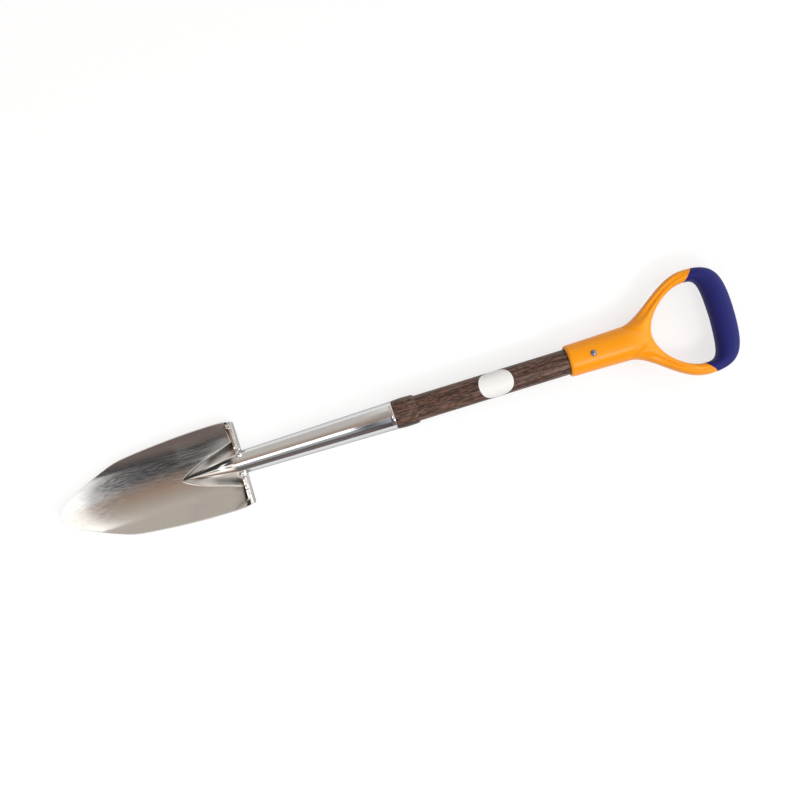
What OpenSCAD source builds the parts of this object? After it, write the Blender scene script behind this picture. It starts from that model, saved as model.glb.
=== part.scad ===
// Transplanting spade with a pressed steel blade, a wooden shaft and a moulded D grip.
// It lies on its back, dished face up. X runs from the blade's tip to the grip, Y across, Z up.
// The stations along X are first measured from the blade's tip, and all is then centred.

/* [Blade] */
// Length of the blade, from its tip to the foot face of the treads
blade_l = 252.5; // [245:0.5:275]
// Width of the blade at its widest
blade_w = 117; // [112:1:124]
// Thickness of the pressed sheet
sheet_t = 2.2; // [1.8:0.1:2.6]
// Radius of the dish across the blade
dish_r = 87; // [80:1:110]
// Height of the tip over the lowest point of the back
tip_rise = 20; // [10:1:26]
// Distance from the tip to the corners where the straight sides begin
corner_x = 89; // [80:1:95]
// Width of the blade at those corners
corner_w = 99; // [95:1:104]
// Distance from the tip to the widest place
wide_x = 225; // [200:1:235]
// How far each side draws in again by the treads
shoulder_in = 1.6; // [0:0.1:3]
// Inside radius where the dish turns up at the heel
bend_r = 6; // [4:0.5:8]

/* [Treads] */
// Depth of the flat bars that the foot stands on
tread_w = 20; // [14:0.5:22]
// Thickness of those bars
tread_t = 3; // [2.5:0.5:4]

/* [Frog] */
// Distance from the blade's tip to the tip of the frog, the raised ridge under the socket
frog_x = 164.5; // [160:0.5:180]
// Steepness of the frog's flanks along its front half
flank_slope = 1.7; // [1.5:0.1:1.8]
// Steepness of its flanks at the heel
heel_slope = 1.3; // [1.3:0.1:1.5]
// Thickness of the web that closes the frog at the heel
web_t = 3; // [2:0.5:4]

/* [Socket] */
// Length of the tapered steel socket
socket_l = 215.5; // [190:0.5:230]
// Outside diameter at the neck, against the blade
neck_d = 30.5; // [29:0.5:32]
// Outside diameter at the mouth
mouth_d = 38.2; // [37:0.2:40]
// Wall of the socket
socket_wall = 1.9; // [1.5:0.1:2.4]
// Leg of the fillet weld round the neck
weld_leg = 4.5; // [3:0.5:5]

/* [Shaft] */
// Diameter of the wooden shaft
shaft_d = 34.5; // [33:0.5:35]
// Diameter of the turned collar behind the socket's mouth
collar_d = 39.8; // [39:0.1:41]
// Length of that collar
collar_l = 31.5; // [24:0.5:40]
// Length of bare shaft between the collar and the grip
bare_l = 209; // [180:1:240]
// Depth of the shaft inside the grip
tenon_l = 78; // [60:1:84]

/* [Label] */
// Diameter of the round sticker before it is wrapped on the shaft
label_d = 46.6; // [40:0.1:50]
// Distance from the collar to the middle of the sticker
label_x = 109; // [80:0.5:140]

/* [Grip] */
// Length of the grip from its mouth to its outer end
grip_l = 232.5; // [225:0.5:245]
// Width of the grip over its arms
grip_w = 143; // [138:1:150]
// Outside diameter of the grip's socket at its mouth
grip_mouth_d = 43.2; // [43:0.1:45]
// Outside diameter of the grip's socket at the fork
fork_d = 46.2; // [45.6:0.1:48]
// Thickness of the arms
arm_t = 25; // [22:0.5:28]
// Thickness of the hand bar
bar_t = 31; // [28:0.5:34]
// Thickness of the soft sleeve over the hand bar
sleeve_t = 2.6; // [2:0.1:3.5]
// Depth of the flutes along the arms
flute_depth = 2.2; // [1:0.1:3]

/* [Fasteners] */
// Diameter of the grip rivet's domed head
rivet_head_d = 8.6; // [7:0.1:10]
// Diameter of the grip rivet's shank
rivet_d = 5; // [4:0.5:6]
// Distance from the grip's mouth to the rivet
rivet_x = 33; // [28:1:50]
// Diameter of the socket screw's head
screw_head_d = 8; // [7:0.5:9]
// Distance from the socket's mouth to the screw behind it
screw_x = 26; // [20:1:40]

/* [Hidden] */
$fn = 64;
eps = 0.01;
fit_gap = 0.1;

// Stations along the spade, from the blade's tip
heel_x = blade_l - tread_t;
socket_x = heel_x;
collar_x = socket_x + socket_l;
bare_x = collar_x + collar_l;
grip_x = bare_x + bare_l;
overall_l = grip_x + grip_l;
axis_z = fork_d / 2;
inner_x = heel_x - sheet_t;
outer_bend_r = bend_r + sheet_t;
rim_z = sheet_t + dish_r - sqrt(dish_r * dish_r - pow(blade_w / 2 - shoulder_in, 2));

// Grip ring
fork_x = 80;
dome_x = 78;
dome_l = 24;
crotch_x = 118;
wide_grip_x = 180;
bar_w = 32;
loop_half = grip_w / 2 - 16.2;
sleeve_q = 0.6;
flute_from = 0.1;
flute_to = 0.585;
ring_sides = 26;
fork_roundness = 1.9;
arm_roundness = 2.3;
arm_steps = 20;
bar_steps = 13;

// Fasteners
rivet_seat = grip_mouth_d / 2 - 0.2;
screw_d = 4;
screw_l = 14;
screw_seat = lerp(mouth_d, neck_d, screw_x / socket_l) / 2 - 0.45;

// Blade grid
nose_l = 60;
nose_rows = 8;
pan_rows = 9;
frog_rows = 13;
bend_rows = 4;
nose_power = 0.6;
lane_share = 0.14;
lane_slope = 0.12;
low_x = frog_x + 5;
side_columns = [for (i = [1:7]) 1 + pow(i / 7, 0.9)];
frog_columns = [0.08, 0.16, 0.25, 0.34, 0.45, 0.6, 0.8, 1];
half_columns = concat(frog_columns, side_columns);
columns = concat([for (i = [len(half_columns) - 1:-1:0]) -half_columns[i]], [0], half_columns);

function lerp(a, b, t) = a + (b - a) * t;
function smooth(t) = let (c = max(0, min(1, t))) c * c * (3 - 2 * c);

// Outline of the blade: half its width at a distance x from the tip
function half_w(x) =
    x < corner_x ? corner_w / 2 * pow(x / corner_x, nose_power)
    : x < wide_x ? blade_w / 2 - (blade_w - corner_w) / 2 * pow((wide_x - x) / (wide_x - corner_x), 2)
    : blade_w / 2 - shoulder_in * pow((x - wide_x) / (heel_x - wide_x), 2);

// Middle line of the dish, a curve that lifts towards the tip
function keel_z(x) = sheet_t + (x < low_x ? tip_rise * pow((low_x - x) / low_x, 1.6) : 0);
function dish_z(x, y) = keel_z(x) + dish_r - sqrt(dish_r * dish_r - y * y);
function back_z(x, y) =
    keel_z(x) + dish_r - sqrt(pow(dish_r + sheet_t, 2) - y * y);

// Frog: a cone that grows from a point into the neck, with straight flanks
function frog_t(x) = max(0, min(1, (x - frog_x) / (heel_x - frog_x)));
function ridge_r(x) = lerp(1.2, neck_d / 2, pow(frog_t(x), 0.9));
function ridge_z(x) = lerp(keel_z(x), axis_z + neck_d / 2, pow(sin(90 * frog_t(x)), 0.8));
function flank(x) = lerp(flank_slope, heel_slope, smooth((frog_t(x) - 0.55) / 0.4));
function flank_k(x) = sqrt(1 + flank(x) * flank(x));

// Height of the frog's section at y, where inset is the depth under its outer skin
function frog_z(x, y, inset = 0) =
    let (r = ridge_r(x) - inset, base = ridge_z(x) - ridge_r(x))
    abs(y) < r * flank(x) / flank_k(x) ? base + sqrt(r * r - y * y)
    : base + r * flank_k(x) - flank(x) * abs(y);

// Where the frog's flank meets the dish
function crease_y(x, rise) =
    let (drop = ridge_z(x) + ridge_r(x) * (flank_k(x) - 1) - keel_z(x) - rise)
    dish_r * (sqrt(flank(x) * flank(x) + 2 * max(0, drop) / dish_r) - flank(x));
function lane_w(x, rise) =
    x < frog_x ? min(lane_share * half_w(x), crease_y(frog_x, 0) + lane_slope * (frog_x - x))
    : crease_y(x, rise);
function column_y(c, x, rise) =
    let (lane = lane_w(x, rise), side = abs(c) <= 1 ? lane * abs(c) : lerp(lane, half_w(x), abs(c) - 1))
    c < 0 ? -side : side;

// Rows of the dish, each as its station and the height that the bend has risen there
straight_rows = concat(
    [for (i = [1:nose_rows]) nose_l * pow(i / nose_rows, 1.6)],
    [for (i = [1:pan_rows]) lerp(nose_l, frog_x - 3, i / pan_rows)],
    [for (i = [0:frog_rows - 1]) lerp(frog_x, heel_x - outer_bend_r, pow(i / (frog_rows - 1), 1.3))]
);
function bend_row(r, end, k) = [end - r + r * sin(90 * k / bend_rows), r * (1 - cos(90 * k / bend_rows))];
face_rows = concat(
    [for (x = straight_rows) [x, 0]],
    [for (k = [1:bend_rows]) bend_row(bend_r, inner_x, k)]
);
back_rows = concat(
    [for (x = straight_rows) [x, 0]],
    [for (k = [1:bend_rows]) bend_row(outer_bend_r, heel_x, k)]
);

// Rows near the tip bow forward, so that the first one is the rounded nose itself
function bowed_x(x, y) =
    let (middle = x < nose_l ? x * x / nose_l : x)
    middle + (x - middle) * pow(abs(y) / half_w(x), 1 / nose_power);

function face_point(row, c) =
    let (y = column_y(c, row[0], row[1]), x = bowed_x(row[0], y))
    [x, y, max(min(dish_z(x, y) + row[1], max(rim_z, dish_z(x, y))), frog_z(x, y))];
function back_point(row, c) =
    let (y = column_y(c, row[0], row[1]), x = bowed_x(row[0], y), top = max(rim_z - 1.4, back_z(x, y)))
    [x, y, max(min(back_z(x, y) + row[1], top), frog_z(x, y, sheet_t))];

// The turned-up heel: its dished side, then the side that the treads lie against
function in_frog(y) = smooth((frog_z(inner_x, y) - rim_z) / 3 + 0.5);
function heel_face(c, k) =
    let (
        y = column_y(c, inner_x, bend_r),
        x = inner_x + sheet_t * in_frog(y) * k / 2,
        low = face_point(face_rows[len(face_rows) - 1], c)[2]
    )
    [x, y, lerp(low, max(rim_z + 0.1, frog_z(x, y)), k / 2)];
function heel_back(c, k) =
    let (
        y = column_y(c, heel_x, outer_bend_r),
        low = back_point(back_rows[len(back_rows) - 1], c)[2],
        top = lerp(rim_z + 0.1, lerp(low, frog_z(heel_x, y), 0.8), in_frog(y))
    )
    [heel_x, y, lerp(low, top, k / 2)];

face_grid = concat(
    [for (row = face_rows) [for (c = columns) face_point(row, c)]],
    [for (k = [1:2]) [for (c = columns) heel_face(c, k)]]
);
back_grid = concat(
    [for (row = back_rows) [for (c = columns) back_point(row, c)]],
    [for (k = [1:2]) [for (c = columns) heel_back(c, k)]]
);

function flat(list) = [for (part = list) each part];

// A sheet between two grids of points with the same rows and columns
module sheet_between(upper, lower) {
    n = len(upper);
    m = len(upper[0]);
    size = n * m;
    function quad(a, b, c, d) = [[a, b, c], [a, c, d]];
    top = flat([for (i = [0:n - 2]) for (j = [0:m - 2])
        quad(i * m + j, i * m + j + 1, (i + 1) * m + j + 1, (i + 1) * m + j)]);
    bottom = flat([for (i = [0:n - 2]) for (j = [0:m - 2])
        quad(size + i * m + j, size + (i + 1) * m + j, size + (i + 1) * m + j + 1, size + i * m + j + 1)]);
    ends = flat([for (j = [0:m - 2]) concat(
        quad(j, size + j, size + j + 1, j + 1),
        quad((n - 1) * m + j, (n - 1) * m + j + 1, size + (n - 1) * m + j + 1, size + (n - 1) * m + j))]);
    sides = flat([for (i = [0:n - 2]) concat(
        quad(i * m, (i + 1) * m, size + (i + 1) * m, size + i * m),
        quad(i * m + m - 1, size + i * m + m - 1, size + (i + 1) * m + m - 1, (i + 1) * m + m - 1))]);
    polyhedron(points = concat(flat(upper), flat(lower)), faces = concat(top, bottom, ends, sides));
}

// Puts a thing that was made along +Z on the shaft's axis, at a distance x from the blade's tip
module along_axis(x) {
    translate([x, 0, axis_z]) rotate([0, 90, 0]) children();
}

module placed() {
    translate([-overall_l / 2, 0, 0]) children();
}

module blade() {
    color("lightsteelblue") placed() sheet_between(face_grid, back_grid);
}

// Radius of the round bevel that the treads have beside the neck, at a depth x behind the heel
weld_gap = 0.05;
function bevel_r(x) = neck_d / 2 + fit_gap + weld_gap + (weld_leg + fit_gap) * x / tread_t;

// A flat bar against the turned-up heel, cut and bevelled round the socket's neck
module tread() {
    corner = 5;
    inner_y = 9;
    low_z = rim_z - tread_w;
    end_y = half_w(heel_x);
    round_end = [for (turn = [0:15:90])
        [end_y - corner + corner * sin(turn), low_z + corner * (1 - cos(turn))]];
    color("lightsteelblue") placed()
        difference() {
            translate([heel_x + 0.02, 0, 0]) rotate([90, 0, 90])
                linear_extrude(tread_t - 0.02)
                    polygon(concat([[inner_y, low_z]], round_end, [[end_y, rim_z], [inner_y, rim_z]]));
            along_axis(heel_x - 1) cylinder(h = tread_t + 2, r1 = bevel_r(-1), r2 = bevel_r(tread_t + 1));
        }
}

module heel_web() {
    web_x = heel_x - web_t;
    web_half = crease_y(web_x, bend_r) - 2;
    steps = [for (i = [-10:10]) web_half * i / 10];
    color("lightsteelblue") placed()
        translate([web_x, 0, 0]) rotate([90, 0, 90])
            linear_extrude(web_t)
                polygon(concat(
                    [for (y = steps) [y, frog_z(web_x, y, sheet_t) - fit_gap]],
                    [for (y = steps) [-y, back_z(web_x, y) + 0.2]]));
}

function socket_r(x) = lerp(neck_d, mouth_d, x / socket_l) / 2;

// A round lump with a small flat on its inner and outer side
module nugget(d) {
    flat_turn = 72;
    side = [for (turn = [-flat_turn:12:flat_turn]) d / 2 * [cos(turn), sin(turn)]];
    rotate([0, 90, 0])
        rotate_extrude()
            polygon(concat([[0, side[0][1]]], side, [[0, -side[0][1]]]));
}

// A weld bead beside the neck: it fills the tread's bevel with a hollow fillet over it,
// climbs the neck and ends in a nugget at an angle from straight down
module neck_weld(nugget_turn, nugget_d, nugget_x, nugget_up) {
    steps = 6;
    first_turn = 28;
    last_turn = 92;
    bead_r = 2.3;
    skin = 0.03;
    neck_r = neck_d / 2;
    face_r = bevel_r(tread_t) - weld_gap;
    toe_r = socket_r(tread_t + weld_leg) + 0.15;
    hollow = [for (i = [0:steps])
        [lerp(face_r, toe_r, sin(90 * i / steps)), tread_t + weld_leg * (1 - cos(90 * i / steps))]];
    flank_turn = atan(heel_slope);
    color("gainsboro") placed()
        difference() {
            union() {
                along_axis(socket_x) rotate([0, 0, first_turn])
                    rotate_extrude(angle = last_turn - first_turn)
                        polygon(concat(
                            [[neck_r - 0.8, 0.3], [bevel_r(0.3) - weld_gap, 0.3]],
                            hollow,
                            [[neck_r - 0.8, tread_t + weld_leg]]));
                difference() {
                    union() {
                        along_axis(socket_x) rotate([0, 0, 90])
                            rotate_extrude(angle = nugget_turn - 94)
                                translate([neck_r + 0.2, bead_r + 0.1]) circle(r = bead_r);
                        along_axis(socket_x + nugget_x) rotate([0, 0, nugget_turn])
                            translate([neck_r + nugget_up, 0, 0]) nugget(nugget_d);
                    }
                    translate([0, 0, rim_z - 29.85]) cube([socket_x + tread_t + skin, 60, 30]);
                    translate([socket_x + skin - 20, 0, axis_z]) rotate([-flank_turn, 0, 0])
                        translate([0, -30, neck_r + fit_gap - 40]) cube([20, 60, 40]);
                }
            }
            along_axis(socket_x - 10)
                cylinder(h = 30, r1 = socket_r(-10) + skin, r2 = socket_r(20) + skin);
        }
}

module tread_left() {
    tread();
}

module tread_right() {
    mirror([0, 1, 0]) tread();
}

module neck_weld_left() {
    neck_weld(145, 7, 5.2, 0.6);
}

module neck_weld_right() {
    mirror([0, 1, 0]) neck_weld(111, 10.4, 1.6, 1.3);
}

module socket() {
    lip = 0.25;
    color("silver") placed()
        difference() {
            along_axis(socket_x)
                rotate_extrude()
                    polygon([
                        [socket_r(0) - socket_wall, 0],
                        [socket_r(0), 0],
                        [socket_r(socket_l - 4), socket_l - 4],
                        [socket_r(socket_l) + lip, socket_l - 1.2],
                        [socket_r(socket_l) + lip, socket_l - 0.4],
                        [socket_r(socket_l) - 0.3, socket_l],
                        [socket_r(socket_l) - socket_wall, socket_l]
                    ]);
            screw_hole(screw_head_d + 0.2);
        }
}

// Room for the socket's screw: a flat seat for its head and a hole for its shank
module screw_hole(seat_d) {
    translate([collar_x - screw_x, 0, axis_z]) mirror([0, 0, 1]) {
        translate([0, 0, screw_seat]) cylinder(h = 10, d = seat_d);
        translate([0, 0, screw_seat - screw_l - 3.2]) cylinder(h = screw_l + 4, d = screw_d + fit_gap);
    }
}

module shaft() {
    nose = 18;
    collar_steps = 10;
    round_l = 5;
    mouth_r = collar_d / 2 - 0.7;
    barrel = [for (i = [0:collar_steps])
        let (t = i / collar_steps)
        [mouth_r + 0.7 * sin(90 * min(1, t * 1.5)) - 0.25 * max(0, t - 0.6) / 0.4,
         socket_l + t * (collar_l - round_l)]];
    shoulder = [for (i = [1:6])
        [lerp(shaft_d / 2, collar_d / 2 - 0.25, cos(15 * i)),
         socket_l + collar_l - round_l + round_l * sin(15 * i)]];
    end = socket_l + collar_l + bare_l + tenon_l;
    color("saddlebrown") placed()
        difference() {
            along_axis(socket_x)
                rotate_extrude()
                    polygon(concat(
                        [[0, nose], [socket_r(nose) - socket_wall - 1.5, nose]],
                        [[socket_r(nose + 4) - socket_wall - fit_gap, nose + 4]],
                        [[socket_r(socket_l) - socket_wall - fit_gap, socket_l + eps]],
                        [for (p = barrel) [p[0], p[1] + eps]],
                        shoulder,
                        [[shaft_d / 2, end], [0, end]]
                    ));
            screw_hole(screw_d + fit_gap);
            translate([grip_x + rivet_x, 0, 0]) cylinder(h = 2 * fork_d, d = rivet_d + fit_gap);
        }
}

// A square grid drawn into a disc of radius 1
function disc_point(u, v) = [u * sqrt(1 - v * v / 2), v * sqrt(1 - u * u / 2)];
function wrapped(p, lift) =
    let (r = shaft_d / 2 + lift, turn = p[1] / (shaft_d / 2) * 180 / PI)
    [p[0], r * sin(turn), axis_z + r * cos(turn)];

module label() {
    along = 12;
    around = 24;
    function grid(lift) =
        [for (i = [0:along]) [for (j = [0:around])
            wrapped(disc_point(2 * i / along - 1, 2 * j / around - 1) * label_d / 2, lift)]];
    color("white") placed() translate([bare_x + label_x, 0, 0])
        sheet_between(grid(0.25), grid(0.04));
}

// Half outlines of the D, from its fork on the axis round to the middle of the bar
function bezier(p, t) =
    pow(1 - t, 3) * p[0] + 3 * t * pow(1 - t, 2) * p[1] + 3 * t * t * (1 - t) * p[2] + pow(t, 3) * p[3];
outer_arm = [
    [fork_x, fork_d / 2 - 0.2], [fork_x + 28, fork_d / 2 + 0.9],
    [wide_grip_x - 39, grip_w / 2], [wide_grip_x, grip_w / 2]
];
outer_bar = [
    [wide_grip_x, grip_w / 2], [grip_l - 10.5, grip_w / 2],
    [grip_l, grip_w / 2 - 16.5], [grip_l, 0]
];
inner_arm = [
    [crotch_x, 0], [crotch_x, 22],
    [wide_grip_x - 30, loop_half], [wide_grip_x - 2, loop_half]
];
inner_bar = [
    [wide_grip_x - 2, loop_half], [wide_grip_x + 13, loop_half],
    [grip_l - bar_w - 1.5, loop_half - 5], [grip_l - bar_w, 0]
];
function outer_edge(a) =
    a < 0 ? [fork_x - 12 * min(1, -a * 4), (fork_d / 2 - 0.2) * (1 + 4 * a)]
    : a < 1 ? bezier(outer_arm, a) : bezier(outer_bar, a - 1);
function inner_edge(a) = a < 1 ? bezier(inner_arm, a) : bezier(inner_bar, a - 1);

function half_t(q) =
    q < 0.5 ? lerp(fork_d / 2 - 1.8, arm_t / 2, smooth(q / 0.32))
    : lerp(arm_t / 2, bar_t / 2, smooth((q - 0.5) / 0.2));
function flute(q) =
    let (t = (q - flute_from) / (flute_to - flute_from))
    t <= 0 || t >= 1 ? 0 : flute_depth * pow(sin(180 * t), 0.8);

// One section across the ring at q, from 0 at the fork to 1 at the middle of the bar
function ring_section(q, inset) =
    let (
        a = outer_edge(lerp(-0.25, 2, q)),
        b = inner_edge(2 * pow(q, 1.28)),
        middle = (a + b) / 2,
        across = (a - b) / 2 * (1 - inset / norm((a - b) / 2)),
        tall = half_t(q) - inset,
        power = 2 / lerp(fork_roundness, arm_roundness, smooth(q / 0.3))
    )
    [for (i = [0:ring_sides - 1])
        let (
            turn = 360 * i / ring_sides,
            c = cos(turn),
            s = sin(turn),
            e = sign(c) * pow(abs(c), power),
            h = sign(s) * pow(abs(s), power),
            dip = inset > 0 || abs(e) > 0.55 ? 0 : flute(q) * pow(1 - pow(e / 0.55, 2), 2)
        )
        [middle[0] + across[0] * e, middle[1] + across[1] * e, tall * h - sign(h) * dip]];
function across_y(section) = [for (p = section) [p[0], -p[1], p[2]]];

arm_q = [for (i = [0:arm_steps]) sleeve_q * i / arm_steps];
bar_q = [for (i = [0:bar_steps]) lerp(sleeve_q, 1, i / bar_steps)];
half_frame = concat(
    [for (q = arm_q) ring_section(q, 0)],
    [for (q = bar_q) ring_section(q, sleeve_t)]
);
half_sleeve = [for (q = bar_q) ring_section(q, 0)];
half_core = [for (q = bar_q) ring_section(q, sleeve_t)];
function whole_bar(half) =
    concat(half, [for (i = [len(half) - 2:-1:0]) across_y(half[i])]);
function whole_ring(half) =
    concat(half, [for (i = [len(half) - 2:-1:1]) across_y(half[i])]);

// A closed ring of sections
module ring_skin(sections) {
    n = len(sections);
    m = len(sections[0]);
    polyhedron(
        points = flat(sections),
        faces = flat([for (i = [0:n - 1]) for (j = [0:m - 1])
            let (a = i * m, b = (i + 1) % n * m, k = (j + 1) % m)
            [[a + j, b + j, b + k], [a + j, b + k, a + k]]]));
}

// An open sleeve between an outer and an inner run of sections
module sleeve_skin(outer, inner) {
    n = len(outer);
    m = len(outer[0]);
    size = n * m;
    skins = flat([for (i = [0:n - 2]) for (j = [0:m - 1])
        let (a = i * m, b = (i + 1) * m, k = (j + 1) % m)
        [[a + j, b + j, b + k], [a + j, b + k, a + k],
         [size + a + j, size + b + k, size + b + j], [size + a + j, size + a + k, size + b + k]]]);
    ends = flat([for (j = [0:m - 1])
        let (k = (j + 1) % m, z = size - m)
        [[j, k, size + k], [j, size + k, size + j],
         [z + j, size + z + k, z + k], [z + j, size + z + j, size + z + k]]]);
    polyhedron(points = concat(flat(outer), flat(inner)), faces = concat(skins, ends));
}

module in_grip() {
    placed() translate([grip_x, 0, axis_z]) children();
}

// Outline of the grip's socket, from its rounded mouth to the domed end inside the fork
module grip_socket() {
    lip = 4;
    mouth_r = grip_mouth_d / 2;
    lip_r = shaft_d / 2 + 1.2;
    steps = 8;
    edge = [for (i = [0:steps])
        [lerp(lip_r, mouth_r, sin(90 * i / steps)), lip * (1 - cos(90 * i / steps))]];
    wall = [for (i = [1:steps])
        let (t = i / steps)
        [lerp(mouth_r, fork_d / 2, pow(t, 1.5)), lerp(lip, dome_x, t)]];
    dome = [for (i = [1:steps])
        [fork_d / 2 * cos(90 * i / steps), dome_x + dome_l * sin(90 * i / steps)]];
    rotate([0, 90, 0])
        rotate_extrude()
            polygon(concat([[0, 1.2], [shaft_d / 2, 1.2]], edge, wall, dome));
}

module grip_frame() {
    bore_r = shaft_d / 2 + 0.05;
    seat_r = rivet_head_d / 2 + fit_gap;
    color("orange") in_grip()
        difference() {
            union() {
                ring_skin(whole_ring(half_frame));
                grip_socket();
            }
            translate([-1, 0, 0]) rotate([0, 90, 0]) cylinder(h = tenon_l + 1.5, r = bore_r);
            translate([rivet_x, 0, -fork_d]) cylinder(h = 2 * fork_d, r = rivet_d / 2 + 0.05);
            for (side = [0, 1])
                mirror([0, 0, side])
                    translate([rivet_x, 0, rivet_seat]) cylinder(h = 10, r = seat_r);
        }
}

module grip_sleeve() {
    color("midnightblue") in_grip() sleeve_skin(whole_bar(half_sleeve), whole_bar(half_core));
}

// A low dome on a round foot
module dome(d, h) {
    ball_r = (d * d / 4 + h * h) / (2 * h);
    intersection() {
        translate([0, 0, h - ball_r]) sphere(r = ball_r);
        cylinder(h = h, d = d);
    }
}

module grip_rivet() {
    color("lightslategray") in_grip() translate([rivet_x, 0, 0]) {
        translate([0, 0, -rivet_seat]) cylinder(h = 2 * rivet_seat, d = rivet_d);
        translate([0, 0, rivet_seat]) dome(rivet_head_d, 2.6);
        mirror([0, 0, 1]) translate([0, 0, rivet_seat]) dome(rivet_head_d - 1, 1.3);
    }
}

module socket_screw() {
    color("silver") placed() translate([collar_x - screw_x, 0, axis_z]) mirror([0, 0, 1]) {
        translate([0, 0, screw_seat]) dome(screw_head_d, 2.2);
        translate([0, 0, screw_seat - screw_l]) cylinder(h = screw_l, d = screw_d);
        translate([0, 0, screw_seat - screw_l - 3]) cylinder(h = 3, d1 = 0.6, d2 = screw_d);
    }
}

blade();
tread_left();
tread_right();
heel_web();
neck_weld_left();
neck_weld_right();
socket();
socket_screw();
shaft();
label();
grip_frame();
grip_sleeve();
grip_rivet();
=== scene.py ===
# %% [markdown]
# # A transplanting spade with a D grip
# The tool lies on its back with the dished face up. Its measured frame is
# loaded first and never changed. Every visible piece is then modelled as the
# maker would shape it: pressed sheet, drawn tube, turned wood, moulded plastic.

# %% Load the measured frame
import math

import bmesh
import bpy
from mathutils import Matrix, Vector, noise


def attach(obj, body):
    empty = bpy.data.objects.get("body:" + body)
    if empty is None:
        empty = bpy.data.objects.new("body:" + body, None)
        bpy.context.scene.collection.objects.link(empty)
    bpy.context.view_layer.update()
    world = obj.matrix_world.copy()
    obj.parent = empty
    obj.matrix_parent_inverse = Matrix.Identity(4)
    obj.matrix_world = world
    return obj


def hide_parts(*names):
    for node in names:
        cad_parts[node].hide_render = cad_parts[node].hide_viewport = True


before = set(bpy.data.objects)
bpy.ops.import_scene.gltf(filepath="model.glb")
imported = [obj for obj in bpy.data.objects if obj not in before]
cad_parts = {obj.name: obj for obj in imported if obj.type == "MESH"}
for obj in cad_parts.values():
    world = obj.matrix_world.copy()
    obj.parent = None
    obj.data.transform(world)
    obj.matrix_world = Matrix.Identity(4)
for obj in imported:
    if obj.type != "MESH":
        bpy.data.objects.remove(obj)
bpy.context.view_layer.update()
print("pieces in the frame:", sorted(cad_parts))

# %% [markdown]
# Lengths along the spade are easiest to think of from the tip of the blade,
# in millimetres. The frame puts its origin in the middle of the tool, so one
# small function turns a station and two offsets into a point of the frame.

# %% Stations and units
MM = 0.001
OVERALL = 938.0
AXIS_Z = 23.1
HEEL_X = 249.5
COLLAR_X = 465.0
BARE_X = 496.5
GRIP_X = 705.5


def at(x, y=0.0, z=AXIS_Z):
    """A point of the frame, from millimetres off the blade's tip."""
    return Vector(((x - OVERALL / 2) * MM, y * MM, z * MM))


def lerp(a, b, t):
    """The value a share t of the way from a to b."""
    return a + (b - a) * t


def clamp(t):
    """Keeps a share between 0 and 1."""
    return max(0.0, min(1.0, t))


def smooth(t):
    """A share that starts and ends gently."""
    t = clamp(t)
    return t * t * (3 - 2 * t)


print("the grip's mouth is at", tuple(round(c, 4) for c in at(GRIP_X)))

# %% [markdown]
# Most pieces end the same way: the mesh becomes an object at the origin, it
# rides on the tool's one rigid body and it stands for one or more pieces of
# the frame. A helper keeps those steps together. Round pieces also start the
# same way, from an outline that is spun about a line.


# %% Helpers that finish a piece and turn an outline
def finish_piece(name, bm, slot, *nodes, sharp=40, recalc=True):
    """Turns a bmesh into an object that stands for the named nodes."""
    if recalc:
        bmesh.ops.recalc_face_normals(bm, faces=bm.faces[:])
    mesh = bpy.data.meshes.new(name)
    bm.to_mesh(mesh)
    bm.free()
    for face in mesh.polygons:
        face.use_smooth = True
    mesh.set_sharp_from_angle(angle=math.radians(sharp))
    piece = bpy.data.objects.new(name, mesh)
    bpy.context.scene.collection.objects.link(piece)
    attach(piece, "root")
    if nodes:
        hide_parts(*nodes)
    print(name, "has", len(mesh.polygons), "faces")
    return piece


def spun(points, centre, axis, steps):
    """Spins a line of points once round an axis and closes the seam."""
    bm = bmesh.new()
    verts = [bm.verts.new(point) for point in points]
    edges = [bm.edges.new(pair) for pair in zip(verts, verts[1:])]
    bmesh.ops.spin(bm, geom=verts + edges, cent=centre, axis=axis,
                   angle=math.tau, steps=steps, use_merge=True)
    bmesh.ops.remove_doubles(bm, verts=bm.verts[:], dist=2e-5)
    return bm


def turned(profile, steps=96):
    """Spins a profile of (station, radius) points about the shaft's axis."""
    return spun([at(x, 0, AXIS_Z + r) for x, r in profile], at(0), (1, 0, 0), steps)


def face_up(bm):
    """Makes the faces of an open sheet point up."""
    bmesh.ops.recalc_face_normals(bm, faces=bm.faces[:])
    if sum(face.normal.z for face in bm.faces) < 0:
        bmesh.ops.reverse_faces(bm, faces=bm.faces[:])


# %% [markdown]
# Run weld metal and moulded plastic have no sharp joins inside. Such a piece is
# put together from plain closed forms that overlap, and a voxel remesh then
# melts them into one skin, which a few rounds of smoothing relax.


# %% Helper that melts forms into one skin
def melt(bm, voxel, rounds):
    """Melts the closed forms of a bmesh into one skin, as a new bmesh."""
    mesh = bpy.data.meshes.new("unmelted")
    bm.to_mesh(mesh)
    bm.free()
    raw = bpy.data.objects.new("unmelted", mesh)
    bpy.context.scene.collection.objects.link(raw)
    remesh = raw.modifiers.new("melt", "REMESH")
    remesh.mode = "VOXEL"
    remesh.voxel_size = voxel * MM
    soften = raw.modifiers.new("soften", "SMOOTH")
    soften.factor = 0.5
    soften.iterations = rounds
    skin = bmesh.new()
    skin.from_mesh(raw.evaluated_get(bpy.context.evaluated_depsgraph_get()).to_mesh())
    bpy.data.objects.remove(raw)
    print("melted into", len(skin.faces), "faces")
    return skin


# %% [markdown]
# ## The blade
# A pressed blade is one even sheet of stainless steel. Across its width it is
# a shallow arc, and along its length it lifts towards a rounded tip. Its
# outline runs round the tip to a soft corner, then widens slowly to the heel.
# Rules for the outline and the dish come first, because every later step
# asks them where the sheet is.

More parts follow.
